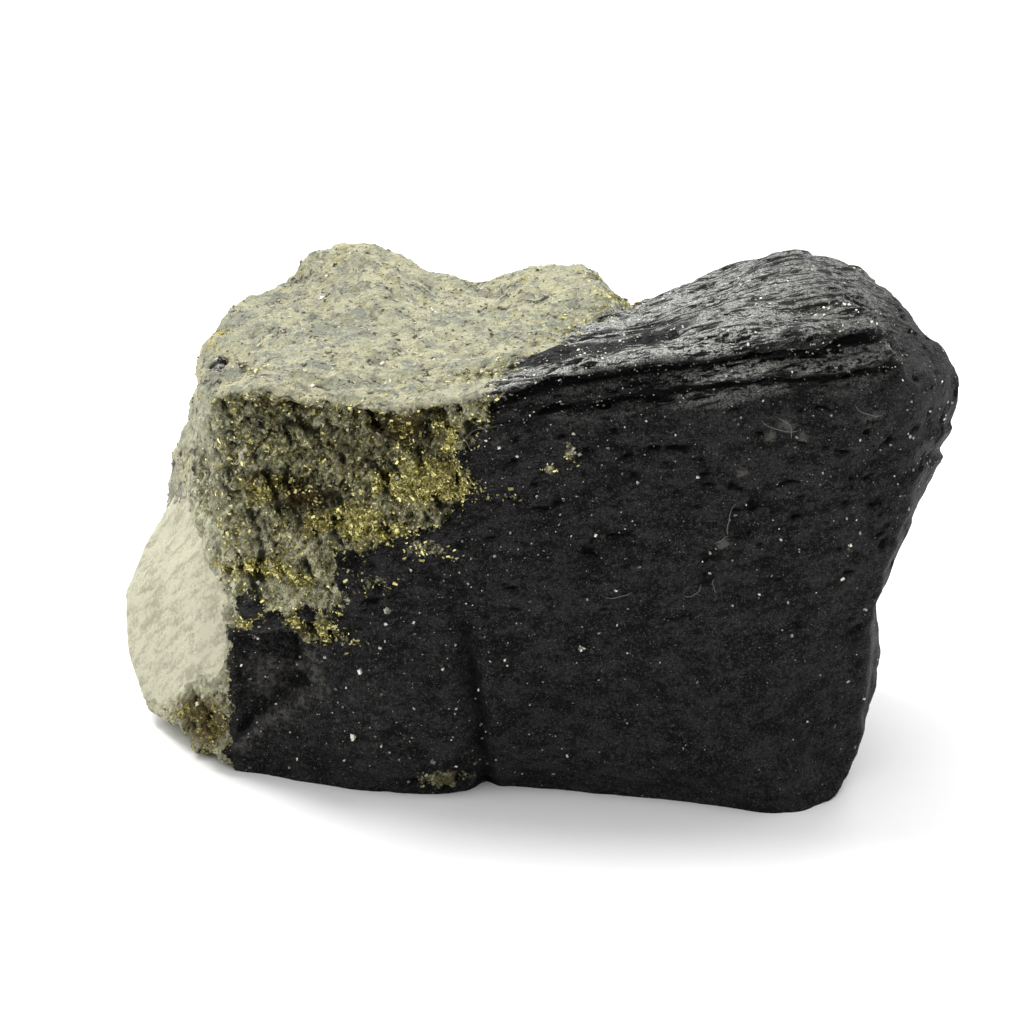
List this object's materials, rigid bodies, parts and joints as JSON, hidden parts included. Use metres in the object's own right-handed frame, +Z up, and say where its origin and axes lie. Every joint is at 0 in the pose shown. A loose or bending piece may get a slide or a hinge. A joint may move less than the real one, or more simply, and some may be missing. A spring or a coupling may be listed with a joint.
{
  "type": "rough pyrite stone",
  "caption": "Rough hand specimen of dark layered shale with a granular golden and pale grey-green pyrite crust, lying on its flattened underside.",
  "frame": {"origin": "middle of the stone's box, on the surface it rests on", "axes": "+X runs along the stone from its pale lobe to its dark end, -Y is the dark show face, +Z up"},
  "size_m": [0.0448, 0.027, 0.0263],
  "materials": {
    "stone": "dull broken shale with a granular metallic pyrite crust"
  },
  "bodies": {
    "root": {"pyrite_stone": "stone"}
  },
  "joints": []
}
